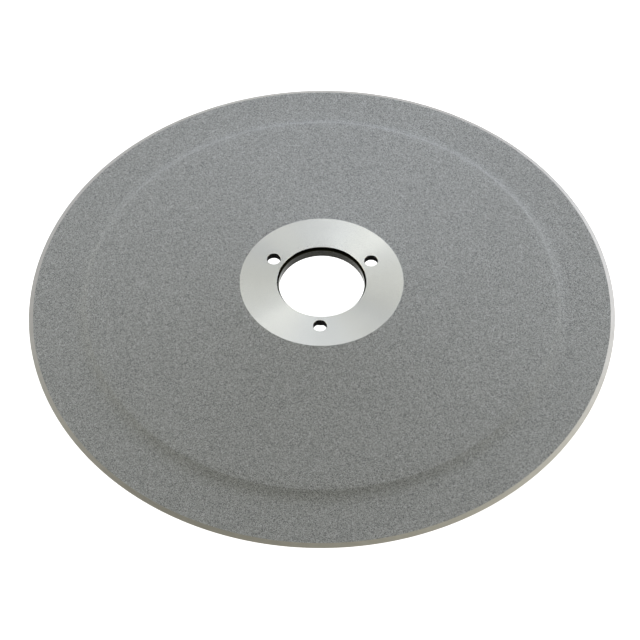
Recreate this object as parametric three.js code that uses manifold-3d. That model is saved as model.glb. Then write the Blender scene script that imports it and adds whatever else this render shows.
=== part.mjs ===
// A coated circular blade disc: a dished steel blank with a turned hub ring, a bore, three screw
// holes and a ground rim, a grit-like coating on both sides, and a register collar behind the hub.
// Millimetres, +Z up. The origin is the centre of the circle that the rim stands on.
import * as THREE from "three";
import { mergeVertices } from "three/addons/utils/BufferGeometryUtils.js";
import Module from "manifold-3d";

// Driving dimensions.
const OUTER_DIAMETER = 275;
const TOTAL_HEIGHT = 22;
const HUB_RING_DIAMETER = 76.4;
const HUB_THICKNESS = 3.4;
const CROWN_DIAMETER = 220;
const CROWN_HEIGHT = 8.05;
const STEP_FOOT_DIAMETER = 236;
const BEVEL_DIAMETER = 270.9;
const BEVEL_HEIGHT = 1.06;
const TIP_THICKNESS = 0.2;

// Bore, register collar and screw holes.
const BORE_DIAMETER = 41.7;
const BORE_LENGTH = 1.5;
const COLLAR_BORE_DIAMETER = 40;
const COLLAR_OUTER_DIAMETER = 44.6;
const COLLAR_DEPTH = 5.6;
const COLLAR_CHAMFER = 1.2;
const FIT_GAP = 0.3;
const SCREW_COUNT = 3;
const SCREW_CIRCLE_DIAMETER = 52.5;
const SCREW_HOLE_DIAMETER = 6.4;
const FIRST_SCREW_ANGLE = -Math.PI / 2;

// Wall, coating and the back of the disc.
const WALL = 2.5;
const LAND_WALL = 1.9;
const COATING = 0.15;
const COATING_GAP = 0.1;
const EDGE_BREAK = 0.1;
const CROWN_STEEPNESS = Math.tan(THREE.MathUtils.degToRad(51));
const BACK_CROWN_DIAMETER = 214;
const BACK_FOOT_DIAMETER = 233;
const HOLLOW_GRIND_DIAMETER = 248;
const HOLLOW_GRIND_SAG = 0.35;
const BACK_STEP_SAG = 0.3;
const HUB_SEAT_DIAMETER = 78;

// Facets.
const DISC_SEGMENTS = 120;
const COLLAR_SEGMENTS = 72;
const HOLE_SEGMENTS = 24;
const STEP_SPANS = 5;
const GRIND_SPANS = 3;
const WELD_DISTANCE = 1e-4;

// Finishes.
const STEEL_COLOR = 0xd9dad6;
const STEEL_ROUGHNESS = 0.3;
const COLLAR_COLOR = 0x8f8f86;
const COLLAR_ROUGHNESS = 0.25;
const COATING_COLOR = 0x8b8d8b;
const COATING_ROUGHNESS = 0.75;
const COATING_METALNESS = 0.2;

const OUTER_RADIUS = OUTER_DIAMETER / 2;
const RING_RADIUS = HUB_RING_DIAMETER / 2;
const CROWN_RADIUS = CROWN_DIAMETER / 2;
const FOOT_RADIUS = STEP_FOOT_DIAMETER / 2;
const STEP_WIDTH = FOOT_RADIUS - CROWN_RADIUS;
const BEVEL_RADIUS = BEVEL_DIAMETER / 2;
const LAND_WIDTH = BEVEL_RADIUS - FOOT_RADIUS;
const SEAT_HEIGHT = TOTAL_HEIGHT - HUB_THICKNESS;
const COAT_TOTAL = COATING + COATING_GAP;
// The step falls like a parabola's slope, from the crown's steepness to the land's, so its mean
// slope is a third of the way up from the land's. That sets the land's slope.
const LAND_SLOPE =
  (CROWN_HEIGHT - BEVEL_HEIGHT - (STEP_WIDTH * CROWN_STEEPNESS) / 3) /
  (LAND_WIDTH + (STEP_WIDTH * 2) / 3);
const FOOT_HEIGHT = BEVEL_HEIGHT + LAND_WIDTH * LAND_SLOPE;

const wasm = await Module();
wasm.setup();

// Height of the step between the crown edge and the land: steep at the crown, and running out
// along the land, so that the foot has no edge.
function stepHeight(radius) {
  const toFoot = (FOOT_RADIUS - radius) / STEP_WIDTH;
  const extra = ((CROWN_STEEPNESS - LAND_SLOPE) * STEP_WIDTH) / 3;
  return FOOT_HEIGHT + (FOOT_RADIUS - radius) * LAND_SLOPE + extra * toFoot ** 3;
}

// The finished front from the hub ring to the bevel, as [radius, height] points.
function frontOutline() {
  const points = [[RING_RADIUS, TOTAL_HEIGHT], [CROWN_RADIUS, CROWN_HEIGHT]];
  for (let i = 1; i <= STEP_SPANS; i++) {
    const radius = CROWN_RADIUS + (STEP_WIDTH * i) / STEP_SPANS;
    points.push([radius, stepHeight(radius)]);
  }
  points.push([BEVEL_RADIUS, BEVEL_HEIGHT]);
  return points;
}

// The finished back from the hub seat to the ground edge band, from the front's own heights.
function backOutline() {
  const coneSlope = (TOTAL_HEIGHT - CROWN_HEIGHT) / (CROWN_RADIUS - RING_RADIUS);
  const backCrown = BACK_CROWN_DIAMETER / 2;
  const backFoot = BACK_FOOT_DIAMETER / 2;
  const grindRadius = HOLLOW_GRIND_DIAMETER / 2;
  const crownHeight = TOTAL_HEIGHT - (backCrown - RING_RADIUS) * coneSlope - WALL;
  const landHeight = (radius) => FOOT_HEIGHT - (radius - FOOT_RADIUS) * LAND_SLOPE - LAND_WALL;
  return [
    [HUB_SEAT_DIAMETER / 2, SEAT_HEIGHT],
    [backCrown, crownHeight],
    [(backCrown + backFoot) / 2, (crownHeight + landHeight(backFoot)) / 2 - BACK_STEP_SAG],
    [backFoot, landHeight(backFoot)],
    [grindRadius, landHeight(grindRadius)],
  ];
}

// The hollow-ground band on the back: a shallow arc from the coating's edge to the rim.
function hollowGrind() {
  const [startRadius, startHeight] = backOutline().at(-1);
  const points = [];
  for (let i = 1; i < GRIND_SPANS; i++) {
    const t = i / GRIND_SPANS;
    const radius = startRadius + (OUTER_RADIUS - startRadius) * t;
    const bow = 1 - (2 * t - 1) ** 2;
    points.push([radius, startHeight * (1 - t) + HOLLOW_GRIND_SAG * bow]);
  }
  return points;
}

function raised(points, height) {
  return points.map(([radius, z]) => [radius, z + height]);
}

// A solid of revolution about Z from a closed outline of [radius, height] points.
function turned(outline, segments) {
  const profile = [...outline, outline[0]].map(([radius, z]) => new THREE.Vector2(radius, z));
  return new THREE.LatheGeometry(profile, segments).rotateX(Math.PI / 2);
}

// Joining and cutting.
function toSolid(geometry) {
  const bare = geometry.clone();
  bare.deleteAttribute("normal");
  bare.deleteAttribute("uv");
  const merged = mergeVertices(bare, WELD_DISTANCE);
  const mesh = new wasm.Mesh({
    numProp: 3,
    vertProperties: new Float32Array(merged.attributes.position.array),
    triVerts: new Uint32Array(merged.index.array),
  });
  return new wasm.Manifold(mesh);
}

function toGeometry(solid) {
  const mesh = solid.getMesh();
  const geometry = new THREE.BufferGeometry();
  geometry.setAttribute("position", new THREE.BufferAttribute(mesh.vertProperties, 3));
  geometry.setIndex(new THREE.BufferAttribute(mesh.triVerts, 1));
  geometry.computeVertexNormals();
  return geometry;
}

function steel(color, roughness) {
  return new THREE.MeshStandardMaterial({ color, roughness, metalness: 1 });
}

function part(name, geometry, material) {
  const mesh = new THREE.Mesh(geometry, material);
  mesh.name = name;
  return mesh;
}

// The cutter for one screw hole: it widens at both ends, past the hub's faces, to break the edges.
function screwHoleCutter(index) {
  const radius = SCREW_HOLE_DIAMETER / 2;
  const outline = [
    [0, SEAT_HEIGHT - EDGE_BREAK],
    [radius + 2 * EDGE_BREAK, SEAT_HEIGHT - EDGE_BREAK],
    [radius, SEAT_HEIGHT + EDGE_BREAK],
    [radius, TOTAL_HEIGHT - EDGE_BREAK],
    [radius + 2 * EDGE_BREAK, TOTAL_HEIGHT + EDGE_BREAK],
    [0, TOTAL_HEIGHT + EDGE_BREAK],
  ];
  const angle = FIRST_SCREW_ANGLE + (index * 2 * Math.PI) / SCREW_COUNT;
  const circle = SCREW_CIRCLE_DIAMETER / 2;
  return toSolid(
    turned(outline, HOLE_SEGMENTS).translate(circle * Math.cos(angle), circle * Math.sin(angle), 0),
  );
}

function discBlank() {
  const bore = BORE_DIAMETER / 2;
  const recess = COLLAR_OUTER_DIAMETER / 2 + FIT_GAP;
  const front = raised(frontOutline(), -COAT_TOTAL);
  const back = raised(backOutline(), COAT_TOTAL);
  const [grindRadius, grindHeight] = backOutline().at(-1);
  const outline = [
    [bore, TOTAL_HEIGHT - BORE_LENGTH],
    [recess, TOTAL_HEIGHT - BORE_LENGTH],
    [recess, SEAT_HEIGHT],
    [HUB_SEAT_DIAMETER / 2, SEAT_HEIGHT],
    ...back,
    [grindRadius, grindHeight],
    ...hollowGrind(),
    [OUTER_RADIUS, 0],
    [OUTER_RADIUS, TIP_THICKNESS],
    [BEVEL_RADIUS, BEVEL_HEIGHT],
    ...front.reverse(),
    [RING_RADIUS, TOTAL_HEIGHT],
    [bore + EDGE_BREAK, TOTAL_HEIGHT],
    [bore, TOTAL_HEIGHT - EDGE_BREAK],
  ];
  let solid = toSolid(turned(outline, DISC_SEGMENTS));
  for (let i = 0; i < SCREW_COUNT; i++) {
    solid = solid.subtract(screwHoleCutter(i));
  }
  return part("disc_blank", toGeometry(solid), steel(STEEL_COLOR, STEEL_ROUGHNESS));
}

function coatingMaterial() {
  return new THREE.MeshStandardMaterial({
    color: COATING_COLOR,
    roughness: COATING_ROUGHNESS,
    metalness: COATING_METALNESS,
  });
}

function frontCoating() {
  const skin = frontOutline();
  const underside = raised(skin, -COATING);
  return part(
    "front_coating",
    turned([...underside, ...skin.reverse()], DISC_SEGMENTS),
    coatingMaterial(),
  );
}

function rearCoating() {
  const skin = backOutline();
  const topside = raised(skin, COATING);
  return part(
    "rear_coating",
    turned([...skin, ...topside.reverse()], DISC_SEGMENTS),
    coatingMaterial(),
  );
}

// The register collar sits in the hub's rear recess and stands out behind the seat. Its bore is
// narrower than the disc's, so its top shows as a ledge.
function centringCollar() {
  const inner = COLLAR_BORE_DIAMETER / 2;
  const outer = COLLAR_OUTER_DIAMETER / 2;
  const top = TOTAL_HEIGHT - BORE_LENGTH - FIT_GAP;
  const bottom = TOTAL_HEIGHT - COLLAR_DEPTH;
  const outline = [
    [inner, bottom + EDGE_BREAK],
    [inner + EDGE_BREAK, bottom],
    [outer - COLLAR_CHAMFER, bottom],
    [outer, bottom + COLLAR_CHAMFER],
    [outer, top],
    [inner + EDGE_BREAK, top],
    [inner, top - EDGE_BREAK],
  ];
  const finish = steel(COLLAR_COLOR, COLLAR_ROUGHNESS);
  return part("centring_collar", turned(outline, COLLAR_SEGMENTS), finish);
}

const disc = new THREE.Group();
disc.add(discBlank(), frontCoating(), rearCoating(), centringCollar());

export default disc;
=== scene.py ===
"""The coated circular blade disc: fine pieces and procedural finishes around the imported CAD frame."""

import math

import bmesh
import bpy
from mathutils import Matrix, Vector


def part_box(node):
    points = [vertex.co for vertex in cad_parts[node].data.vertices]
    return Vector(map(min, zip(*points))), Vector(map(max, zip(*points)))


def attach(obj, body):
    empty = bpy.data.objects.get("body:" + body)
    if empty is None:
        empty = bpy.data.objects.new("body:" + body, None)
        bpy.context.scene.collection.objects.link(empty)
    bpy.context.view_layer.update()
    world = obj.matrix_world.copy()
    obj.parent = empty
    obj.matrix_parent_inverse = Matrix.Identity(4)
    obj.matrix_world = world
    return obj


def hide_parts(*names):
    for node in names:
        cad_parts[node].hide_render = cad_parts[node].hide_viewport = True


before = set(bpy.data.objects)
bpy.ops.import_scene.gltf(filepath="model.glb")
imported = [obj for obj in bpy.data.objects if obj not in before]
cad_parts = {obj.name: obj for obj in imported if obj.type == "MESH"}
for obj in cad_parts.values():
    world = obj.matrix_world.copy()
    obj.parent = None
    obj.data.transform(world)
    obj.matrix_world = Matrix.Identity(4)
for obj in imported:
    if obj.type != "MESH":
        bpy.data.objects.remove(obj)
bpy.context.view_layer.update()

MM = 0.001

# Sizes in millimetres that the frame's boxes don't give.
HUB_THICKNESS = 3.4
BORE_RADIUS = 20.85
BORE_LENGTH = 1.5
EDGE_BREAK = 0.1
SCREW_CIRCLE_RADIUS = 26.25
SCREW_HOLE_RADIUS = 3.2
SCREW_COUNT = 3
RECESS_RADIUS = 22.6
COLLAR_CHAMFER = 1.2
COATING_THICKNESS = 0.12
TIP = 0.2
GRIND_SAG = 0.35
# How far the rounding of a crown edge reaches inwards and outwards, in millimetres.
CROWN_ROUNDING = (0.8, 2.4)
BACK_CROWN_ROUNDING = (3.0, 3.0)

# Fineness. Spacings are in millimetres.
SEGMENTS = 512
COLLAR_SEGMENTS = 256
HOLE_SEGMENTS = 64
GRIND_STEPS = 16
ROUNDING_STEPS = 16
ROUNDING_MARGIN = 0.3
STEP_SPACING = 0.45
PLAIN_SPACING = 2.4
SLOPE_SPACING = 0.01
SHARP_ANGLE = math.radians(12)
# Radius in millimetres of the thin hole that a cutter has along its axis until it is closed.
NEAR_AXIS = 0.01

# The studio. Lengths are in metres.
FLOOR_SIDE = 8.0
FLOOR_DIVISIONS = 8
FLOOR_GLOW = 0.9
WORLD_GLOW = 0.01
LIGHT_DISTANCE = 1.6
WATTS_PER_AREA = 4
OVERHEAD = 90
# (Elevation, (width, height)) of a row of softboxes, then azimuth: brightness for each box in it.
SOFTBOXES = {
    (12, (1.2, 0.62)): {0: 0.2, 45: 1.25, 90: 0.35, 135: 0.7, 180: 1.35},
    (35, (1.0, 0.65)): {0: 1.45, 45: 1.05, 90: 1.15, 135: 0.35, 180: 0.95, 270: 0.3},
    (58, (0.85, 0.65)): {0: 0.4, 60: 1.15, 120: 0.5},
    (OVERHEAD, (1.0, 1.0)): {0: 0.5},
}
BACK_COLOR = (0.94, 0.965, 1.06)
SIDE_COLOR = (1.08, 1.03, 0.84)
TOP_COLOR = (1.08, 1.04, 0.87)

# The camera. Its distances are in outer radii of the disc.
CAMERA_TURN = math.radians(2.0)
CAMERA_ELEVATION = math.radians(50.88)
CAMERA_DISTANCE = 16.985
CAMERA_ASIDE = -0.0066
CAMERA_TIP = math.radians(-0.4388)
CAMERA_ROLL = math.radians(0.45)
FOCAL_LENGTH = 281.97
SENSOR_WIDTH = 36

# The colour sockets of a Mix node, whose names it also gives to its sockets for plain numbers.
MIX_FIRST, MIX_SECOND, MIX_RESULT = 6, 7, 2
# The ring texture's phase in radians for each unit of distance, at scale 1.
WAVE_PHASE = 20


# ---- outlines -------------------------------------------------------------------------------


def section(node):
    """The (radius, height) points, in mm, where a CAD node's mesh crosses the half plane y = 0, x > 0."""
    on_plane = 0.01
    found = set()
    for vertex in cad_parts[node].data.vertices:
        x, y, z = vertex.co / MM
        if x > 0 and abs(y) < on_plane:
            found.add((round(x, 3), round(z, 3)))
    return sorted(found)


def envelope(points, pick):
    """One height for each radius: the highest with pick=max, the lowest with pick=min."""
    radii = sorted({radius for radius, _ in points})
    return [(r, pick(z for radius, z in points if radius == r)) for r in radii]


def hermite(points, slopes, radius):
    """Height at a radius on the smooth curve through points with those slopes."""
    for (r0, z0), (r1, z1), m0, m1 in zip(points, points[1:], slopes, slopes[1:]):
        if radius <= r1 or (r1, z1) == points[-1]:
            width = r1 - r0
            t = (radius - r0) / width
            rise = (3 * t * t - 2 * t ** 3) * (z1 - z0)
            return z0 + rise + width * ((t ** 3 - 2 * t * t + t) * m0 + (t ** 3 - t * t) * m1)


def slopes_through(points):
    """Slopes for hermite(): each from the neighbours, the first curving on, the last straight."""
    steps = [(z1 - z0) / (r1 - r0) for (r0, z0), (r1, z1) in zip(points, points[1:])]
    inner = [(a + b) / 2 for a, b in zip(steps, steps[1:])]
    return [2 * steps[0] - inner[0], *inner, steps[-1]]


class Skin:
    """A turned surface: a straight cone, a rounded crown edge, then a smooth curve."""

    def __init__(self, points, rounding):
        self.start, self.crown = points[0], points[1]
        self.curve = points[1:]
        self.slopes = slopes_through(self.curve)
        self.cone_slope = (self.crown[1] - self.start[1]) / (self.crown[0] - self.start[0])
        self.inner, self.outer = self.crown[0] - rounding[0], self.crown[0] + rounding[1]
        self.rounded = [(self.inner, self.cone(self.inner)), (self.outer, self.step(self.outer))]
        end_rise = self.step(self.outer + SLOPE_SPACING) - self.step(self.outer)
        self.rounded_slopes = [self.cone_slope, end_rise / SLOPE_SPACING]

    def cone(self, radius):
        return self.crown[1] + (radius - self.crown[0]) * self.cone_slope

    def step(self, radius):
        return hermite(self.curve, self.slopes, radius)

    def height(self, radius):
        if radius <= self.inner:
            return self.cone(radius)
        if radius < self.outer:
            return hermite(self.rounded, self.rounded_slopes, radius)
        return self.step(radius)

    def sampled(self, first, last):
        """(radius, height) points from first to last, closest at the crown edge and on the step."""
        radii = [first]
        while radii[-1] < last:
            if self.inner - ROUNDING_MARGIN < radii[-1] < self.outer:
                spacing = (self.outer - self.inner) / ROUNDING_STEPS
            elif self.outer <= radii[-1] < self.curve[-2][0]:
                spacing = STEP_SPACING
            else:
                spacing = PLAIN_SPACING
            radii.append(radii[-1] + spacing)
        radii[-1] = last
        return [(radius, self.height(radius)) for radius in radii]


def shifted(points, height):
    return [(radius, z + height) for radius, z in points]


def arc_between(start, end, sag, steps):
    """Points from start to end, without those two, that bow upwards by sag."""
    points = []
    for i in range(1, steps):
        t = i / steps
        radius = start[0] + (end[0] - start[0]) * t
        chord = start[1] + (end[1] - start[1]) * t
        points.append((radius, chord + 4 * sag * t * (1 - t)))
    return points


# ---- meshes ---------------------------------------------------------------------------------


def lathe(name, stretches, segments, finishes):
    """A closed solid of revolution about Z.

    stretches is a list of (finish name, [(radius, height), ...]) in mm that runs once round the
    section; each stretch starts where the one before ended. Returns the object.
    """
    outline = []
    for finish, points in stretches:
        outline += [(radius, z, finishes.index(finish)) for radius, z in points]
    bm = bmesh.new()
    turns = [2 * math.pi * i / segments for i in range(segments)]
    circle = [(math.cos(turn), math.sin(turn)) for turn in turns]
    rings = [
        [bm.verts.new((radius * c * MM, radius * s * MM, z * MM)) for c, s in circle]
        for radius, z, _ in outline
    ]
    for ring, upper, (_, _, finish) in zip(rings, rings[1:] + rings[:1], outline):
        for i in range(segments):
            j = (i + 1) % segments
            face = bm.faces.new((ring[i], ring[j], upper[j], upper[i]))
            face.material_index = finish
            face.smooth = True
    bmesh.ops.recalc_face_normals(bm, faces=bm.faces)
    return to_object(name, bm)


def to_object(name, bm):
    mark_sharp(bm)
    mesh = bpy.data.meshes.new(name)
    bm.to_mesh(mesh)
    bm.free()
    piece = bpy.data.objects.new(name, mesh)
    bpy.context.scene.collection.objects.link(piece)
    return piece


def mark_sharp(bm):
    for edge in bm.edges:
        edge.smooth = len(edge.link_faces) == 2 and edge.calc_face_angle(0) < SHARP_ANGLE


def apply_modifiers(piece):
    depsgraph = bpy.context.evaluated_depsgraph_get()
    mesh = bpy.data.meshes.new_from_object(piece.evaluated_get(depsgraph), depsgraph=depsgraph)
    piece.modifiers.clear()
    piece.data = mesh


def cut(piece, cutters):
    """Subtracts each cutter from the piece, and removes it. Cut faces take the cutter's finish."""
    for cutter in cutters:
        modifier = piece.modifiers.new("cut", "BOOLEAN")
        modifier.operation = "DIFFERENCE"
        modifier.solver = "EXACT"
        modifier.object = cutter
    apply_modifiers(piece)
    for cutter in cutters:
        bpy.data.objects.remove(cutter)
    bm = bmesh.new()
    bm.from_mesh(piece.data)
    mark_sharp(bm)
    bm.to_mesh(piece.data)
    bm.free()


# ---- the pieces -----------------------------------------------------------------------------

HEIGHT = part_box("disc_blank")[1].z / MM
OUTER_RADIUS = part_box("disc_blank")[1].x / MM
SEAT_HEIGHT = HEIGHT - HUB_THICKNESS
front_points = envelope(section("front_coating"), max)
back_points = envelope(section("rear_coating"), min)
front_skin = Skin(front_points, CROWN_ROUNDING)
back_skin = Skin(back_points, BACK_CROWN_ROUNDING)
RING_RADIUS, BEVEL_RADIUS = front_points[0][0], front_points[-1][0]
SEAT_RADIUS, GRIND_RADIUS = back_points[0][0], back_points[-1][0]
BEVEL_HEIGHT, GRIND_HEIGHT = front_points[-1][1], back_points[-1][1]


def screw_cutter(index, finishes):
    """The shape of one screw hole, with both its edges broken, as a solid to subtract."""
    radius, chamfer = SCREW_HOLE_RADIUS, EDGE_BREAK
    wide = radius + 2 * chamfer
    hole = lathe(
        f"screw_cutter_{index}",
        [
            ("hole_wall", [(NEAR_AXIS, SEAT_HEIGHT - chamfer)]),
            ("chamfer_steel", [(wide, SEAT_HEIGHT - chamfer)]),
            ("hole_wall", [(radius, SEAT_HEIGHT + chamfer)]),
            ("chamfer_steel", [(radius, HEIGHT - chamfer)]),
            ("hole_wall", [(wide, HEIGHT + chamfer), (NEAR_AXIS, HEIGHT + chamfer)]),
        ],
        HOLE_SEGMENTS,
        finishes,
    )
    close_axis(hole)
    turn = -math.pi / 2 + index * 2 * math.pi / SCREW_COUNT
    offset = Vector((math.cos(turn), math.sin(turn), 0)) * SCREW_CIRCLE_RADIUS * MM
    hole.data.transform(Matrix.Translation(offset))
    return hole


def close_axis(piece):
    """Fills the thin hole that lathe() leaves along the axis."""
    reach = 2 * NEAR_AXIS * MM
    bm = bmesh.new()
    bm.from_mesh(piece.data)
    inner = [f for f in bm.faces if all(v.co.xy.length < reach for v in f.verts)]
    bmesh.ops.delete(bm, geom=inner, context="FACES")
    bmesh.ops.holes_fill(bm, edges=[e for e in bm.edges if e.is_boundary], sides=0)
    bmesh.ops.recalc_face_normals(bm, faces=bm.faces)
    bm.to_mesh(piece.data)
    bm.free()


def make_blank(materials):
    """The steel disc: bore, hub face, front, bevel, rim, hollow-ground band, back and recess."""
    finishes = list(materials)
    steel_front = shifted(front_skin.sampled(RING_RADIUS, BEVEL_RADIUS), -COATING_THICKNESS)
    steel_back = shifted(back_skin.sampled(SEAT_RADIUS, GRIND_RADIUS), COATING_THICKNESS)
    grind_start = (GRIND_RADIUS, GRIND_HEIGHT)
    grind = arc_between(grind_start, (OUTER_RADIUS, 0), GRIND_SAG, GRIND_STEPS)
    recess_top = HEIGHT - BORE_LENGTH
    blank = lathe(
        "blade_blank",
        [
            ("hole_wall", [(BORE_RADIUS, recess_top)]),
            ("chamfer_steel", [(BORE_RADIUS, HEIGHT - EDGE_BREAK)]),
            ("turned_steel", [(BORE_RADIUS + EDGE_BREAK, HEIGHT), (RING_RADIUS, HEIGHT)]),
            ("turned_steel", steel_front),
            ("ground_steel", [(BEVEL_RADIUS, BEVEL_HEIGHT)]),
            ("ground_steel", [(OUTER_RADIUS - TIP / 4, TIP), (OUTER_RADIUS, TIP * 0.75)]),
            ("ground_steel", [(OUTER_RADIUS, 0), *reversed(grind)]),
            ("ground_steel", [grind_start]),
            ("turned_steel", [*reversed(steel_back), (SEAT_RADIUS, SEAT_HEIGHT)]),
            ("turned_steel", [(RECESS_RADIUS, SEAT_HEIGHT), (RECESS_RADIUS, recess_top)]),
        ],
        SEGMENTS,
        finishes,
    )
    cutters = [screw_cutter(i, finishes) for i in range(SCREW_COUNT)]
    for solid in (blank, *cutters):
        for material in materials.values():
            solid.data.materials.append(material)
    cut(blank, cutters)
    return blank


def make_coating(name, skin, thickness, material):
    """A thin layer from the skin's points to the same points moved by thickness."""
    under = shifted(skin, thickness)
    layer = lathe(name, [("coating", [*skin, *reversed(under)])], SEGMENTS, ["coating"])
    layer.data.materials.append(material)
    return layer


def make_front_coating(material):
    skin = front_skin.sampled(RING_RADIUS, BEVEL_RADIUS)
    return make_coating("grit_coating_front", skin, -COATING_THICKNESS, material)


def make_rear_coating(material):
    skin = back_skin.sampled(SEAT_RADIUS, GRIND_RADIUS)
    return make_coating("grit_coating_rear", skin, COATING_THICKNESS, material)


def make_collar(material):
    """The register collar, whose narrower bore shows as a ledge below the disc's bore."""
    inner = min(radius for radius, _ in section("centring_collar"))
    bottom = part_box("centring_collar")[0].z / MM
    top = HEIGHT - BORE_LENGTH
    outline = [
        (inner, bottom + EDGE_BREAK),
        (inner, top - EDGE_BREAK),
        (inner + EDGE_BREAK, top),
        (RECESS_RADIUS, top),
        (RECESS_RADIUS, bottom + COLLAR_CHAMFER),
        (RECESS_RADIUS - COLLAR_CHAMFER, bottom),
        (inner + EDGE_BREAK, bottom),
    ]
    collar = lathe("register_collar", [("collar", outline)], COLLAR_SEGMENTS, ["collar"])
    collar.data.materials.append(material)
    return collar


# ---- materials ------------------------------------------------------------------------------


class Shader:
    """A material's node tree with short calls for the nodes used here."""

    def __init__(self, name):
        self.material = bpy.data.materials.new(name)
        self.material.use_nodes = True
        self.tree = self.material.node_tree
        self.surface = self.tree.nodes["Principled BSDF"]
        self.place = self.add("ShaderNodeTexCoord").outputs["Object"]

    def add(self, kind, **settings):
        node = self.tree.nodes.new(kind)
        for key, value in settings.items():
            setattr(node, key, value)
        return node

    def link(self, source, target):
        self.tree.links.new(source, target)

    def set(self, **values):
        """Sets shader sockets by name, with _ for each space."""
        for key, value in values.items():
            self.surface.inputs[key.replace("_", " ")].default_value = value

    def color(self, value, dark, light):
        """Gives the surface a colour between two, as value goes from 0 to 1."""
        node = self.add("ShaderNodeMix", data_type="RGBA")
        self.link(value, node.inputs["Factor"])
        node.inputs[MIX_FIRST].default_value = (*dark, 1)
        node.inputs[MIX_SECOND].default_value = (*light, 1)
        self.link(node.outputs[MIX_RESULT], self.surface.inputs["Base Color"])

    def roughness(self, value, low, high):
        """Gives the surface a roughness from low to high, as value goes from 0 to 1."""
        self.link(self.mapped(value, low, high), self.surface.inputs["Roughness"])

    def bump(self, height, distance, strength):
        node = self.add("ShaderNodeBump")
        node.inputs["Distance"].default_value = distance
        node.inputs["Strength"].default_value = strength
        self.link(height, node.inputs["Height"])
        self.link(node.outputs["Normal"], self.surface.inputs["Normal"])

    def turned_about_z(self):
        tangent = self.add("ShaderNodeTangent", direction_type="RADIAL", axis="Z")
        self.link(tangent.outputs["Tangent"], self.surface.inputs["Tangent"])

    def noise(self, size, detail=2.0, roughness=0.5):
        """Noise with features of about that size in metres. Returns its value."""
        node = self.add("ShaderNodeTexNoise")
        node.inputs["Scale"].default_value = 1 / size
        node.inputs["Detail"].default_value = detail
        node.inputs["Roughness"].default_value = roughness
        self.link(self.place, node.inputs["Vector"])
        return node.outputs["Fac"]

    def grains(self, size):
        """Cells of that size in metres, each with its own grey. Returns that grey."""
        node = self.add("ShaderNodeTexVoronoi")
        node.inputs["Scale"].default_value = 1 / size
        self.link(self.place, node.inputs["Vector"])
        split = self.add("ShaderNodeSeparateColor")
        self.link(node.outputs["Color"], split.inputs["Color"])
        return split.outputs["Red"]

    def rings(self, pitch, distortion):
        """Concentric lines about Z with that pitch in metres. Returns their value."""
        node = self.add("ShaderNodeTexWave", wave_type="RINGS", rings_direction="Z")
        node.inputs["Scale"].default_value = 2 * math.pi / (WAVE_PHASE * pitch)
        node.inputs["Distortion"].default_value = distortion
        node.inputs["Detail Scale"].default_value = 0.6
        self.link(self.place, node.inputs["Vector"])
        return node.outputs["Fac"]

    def mapped(self, value, low, high):
        """The value, moved from the range 0 to 1 to the range low to high."""
        node = self.add("ShaderNodeMapRange")
        node.inputs["To Min"].default_value = low
        node.inputs["To Max"].default_value = high
        self.link(value, node.inputs["Value"])
        return node.outputs["Result"]

    def scaled(self, value, factor):
        node = self.add("ShaderNodeMath", operation="MULTIPLY")
        self.link(value, node.inputs[0])
        node.inputs[1].default_value = factor
        return node.outputs["Value"]

    def total(self, first, second):
        node = self.add("ShaderNodeMath", operation="ADD")
        self.link(first, node.inputs[0])
        self.link(second, node.inputs[1])
        return node.outputs["Value"]


def coating_material():
    """Matt grey coating: light and dark grains over a slightly uneven grey, with a gritty relief."""
    s = Shader("grit_coating")
    grains = s.grains(0.00026)
    fine = s.noise(0.0005, detail=3.0, roughness=0.7)
    cloud = s.noise(0.03)
    speckle = s.total(s.scaled(grains, 0.8), s.scaled(fine, 0.2))
    speckle = s.total(speckle, s.mapped(cloud, -0.02, 0.02))
    s.color(speckle, (0.1, 0.105, 0.108), (0.734, 0.766, 0.786))
    s.roughness(fine, 0.5, 0.7)
    s.bump(speckle, 0.00012, 0.35)
    s.set(Metallic=0.0, Specular_IOR_Level=0.1)
    return s.material


def turned_steel_material():
    """Bare faced steel: bright, with concentric tool marks that draw the light out into lobes."""
    s = Shader("turned_steel")
    marks = s.rings(0.00022, 1.2)
    patch = s.noise(0.012, detail=3.0)
    s.color(patch, (0.765, 0.77, 0.69), (0.825, 0.83, 0.75))
    s.roughness(marks, 0.27, 0.33)
    s.bump(marks, 0.000004, 0.5)
    s.turned_about_z()
    s.set(Metallic=1.0, Anisotropic=1.0)
    return s.material


def chamfer_steel_material():
    """Chamfers at the bore and the screw holes: plain bright steel with no drawn-out marks."""
    s = Shader("chamfer_steel")
    patch = s.noise(0.0012)
    s.color(patch, (0.66, 0.66, 0.64), (0.78, 0.78, 0.76))
    s.roughness(patch, 0.2, 0.3)
    s.bump(patch, 0.00001, 0.3)
    s.set(Metallic=1.0)
    return s.material


def ground_steel_material():
    """The ground rim and the hollow-ground band: fine circular grinding lines."""
    s = Shader("ground_steel")
    marks = s.rings(0.00035, 2.5)
    patch = s.noise(0.006, detail=3.0)
    s.color(patch, (0.57, 0.56, 0.525), (0.668, 0.66, 0.635))
    s.roughness(marks, 0.4, 0.5)
    s.bump(marks, 0.000005, 0.5)
    s.turned_about_z()
    s.set(Metallic=1.0, Anisotropic=0.5)
    return s.material


def hole_wall_material():
    """Walls of the bore and the screw holes, painted near black as the shade inside the holes."""
    s = Shader("hole_wall")
    patch = s.noise(0.0015, detail=3.0)
    # Near-black colour and almost no shine: painted shade inside the bore and the screw holes.
    s.color(patch, (0.0005, 0.0005, 0.0005), (0.003, 0.003, 0.0027))
    s.roughness(patch, 0.45, 0.65)
    s.bump(patch, 0.00004, 0.4)
    s.set(Metallic=0.0, Specular_IOR_Level=0.02)
    return s.material


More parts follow.
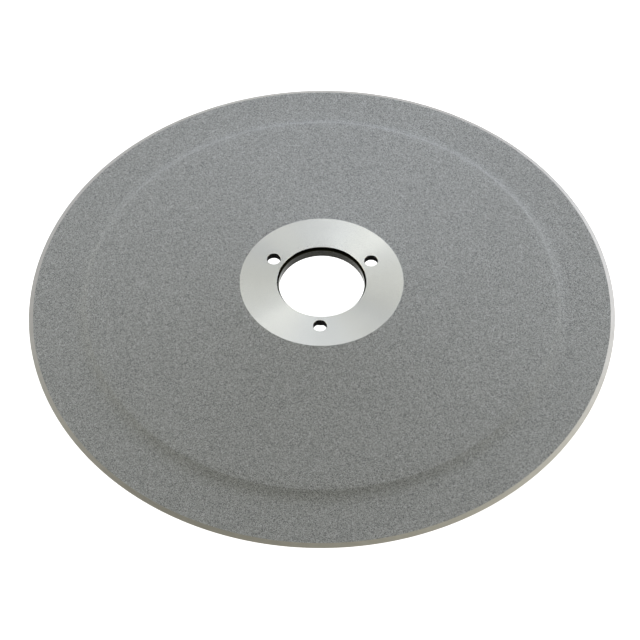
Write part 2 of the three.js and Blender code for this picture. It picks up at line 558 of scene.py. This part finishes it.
def collar_material():
    """The register collar: smooth, with a dark oiled oxide finish that shines at low angles."""
    s = Shader("collar_steel")
    marks = s.rings(0.0003, 0.8)
    patch = s.noise(0.003, detail=3.0)
    s.color(patch, (0.004, 0.004, 0.001), (0.02, 0.02, 0.009))
    s.roughness(patch, 0.08, 0.18)
    s.bump(marks, 0.000004, 0.5)
    s.set(Metallic=0.0, Specular_IOR_Level=0.2)
    return s.material


def floor_material():
    """A plain white table that glows a little, as a lit white sweep does."""
    s = Shader("white_floor")
    cloud = s.noise(0.5, detail=1.0)
    s.color(cloud, (0.86, 0.86, 0.86), (0.88, 0.88, 0.88))
    s.set(Roughness=0.9, Emission_Color=(1, 1, 1, 1), Emission_Strength=FLOOR_GLOW)
    return s.material


# ---- the studio -----------------------------------------------------------------------------


def add_camera():
    """The camera looks at the middle of the hub face, tipped, rolled and moved aside a little."""
    radius = OUTER_RADIUS * MM
    target = Vector((0, 0, HEIGHT * MM))
    back = Vector((0, -math.cos(CAMERA_ELEVATION), math.sin(CAMERA_ELEVATION)))
    right = Vector((1, 0, 0))
    up = right.cross(-back)
    place = back * CAMERA_DISTANCE * radius + right * CAMERA_ASIDE * radius
    tipped = Matrix.Rotation(CAMERA_TIP, 3, right)
    forward, up = tipped @ -back, tipped @ up
    level = Matrix((right, up, -forward)).transposed()
    rolled = Matrix.Rotation(CAMERA_ROLL, 3, forward) @ level
    turn = Matrix.Rotation(CAMERA_TURN, 3, "Z")
    camera = bpy.data.objects.new("camera", bpy.data.cameras.new("camera"))
    camera.data.lens = FOCAL_LENGTH
    camera.data.sensor_width = SENSOR_WIDTH
    camera.matrix_world = Matrix.Translation(target + turn @ place) @ (turn @ rolled).to_4x4()
    bpy.context.scene.collection.objects.link(camera)
    bpy.context.scene.camera = camera


def softbox_color(azimuth, elevation):
    """Cool from behind, and warm from the sides, the front and above."""
    if elevation == OVERHEAD:
        return TOP_COLOR
    return BACK_COLOR if 0 < azimuth < 180 else SIDE_COLOR


def add_softbox(azimuth, elevation, size, brightness):
    """A rectangular softbox facing the object. Azimuth 0 is +X; 90 is +Y, away from the camera."""
    a, e = math.radians(azimuth), math.radians(elevation)
    away = Vector((math.cos(a) * math.cos(e), math.sin(a) * math.cos(e), math.sin(e)))
    name = f"softbox_{azimuth}_{elevation}"
    light = bpy.data.objects.new(name, bpy.data.lights.new(name, "AREA"))
    light.data.shape = "RECTANGLE"
    light.data.size, light.data.size_y = size
    light.data.energy = WATTS_PER_AREA * brightness * size[0] * size[1]
    light.data.color = softbox_color(azimuth, elevation)
    light.location = away * LIGHT_DISTANCE
    light.rotation_euler = away.to_track_quat("Z", "Y").to_euler()
    bpy.context.scene.collection.objects.link(light)


def add_lights():
    """Rows of softboxes round the sides and the back: the front and the top are dimmer."""
    for (elevation, size), row in SOFTBOXES.items():
        for azimuth, brightness in row.items():
            add_softbox(azimuth, elevation, size, brightness)


def add_floor():
    bm = bmesh.new()
    divisions = FLOOR_DIVISIONS
    bmesh.ops.create_grid(bm, x_segments=divisions, y_segments=divisions, size=FLOOR_SIDE / 2)
    floor = to_object("floor", bm)
    floor.data.materials.append(floor_material())


def add_world():
    world = bpy.data.worlds.new("studio")
    world.use_nodes = True
    background = world.node_tree.nodes["Background"]
    background.inputs["Color"].default_value = (1, 1, 1, 1)
    background.inputs["Strength"].default_value = WORLD_GLOW
    bpy.context.scene.world = world


bpy.context.scene.view_settings.view_transform = "Standard"
add_camera()
add_floor()
add_world()
add_lights()

steels = {
    "turned_steel": turned_steel_material(),
    "ground_steel": ground_steel_material(),
    "chamfer_steel": chamfer_steel_material(),
    "hole_wall": hole_wall_material(),
}
coating = coating_material()
made = [
    (make_blank(steels), "disc_blank", "bare_steel"),
    (make_front_coating(coating), "front_coating", "front_coating"),
    (make_rear_coating(coating), "rear_coating", "rear_coating"),
    (make_collar(collar_material()), "centring_collar", "collar_steel"),
]
for piece, node, slot in made:
    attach(piece, "root")
    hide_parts(node)
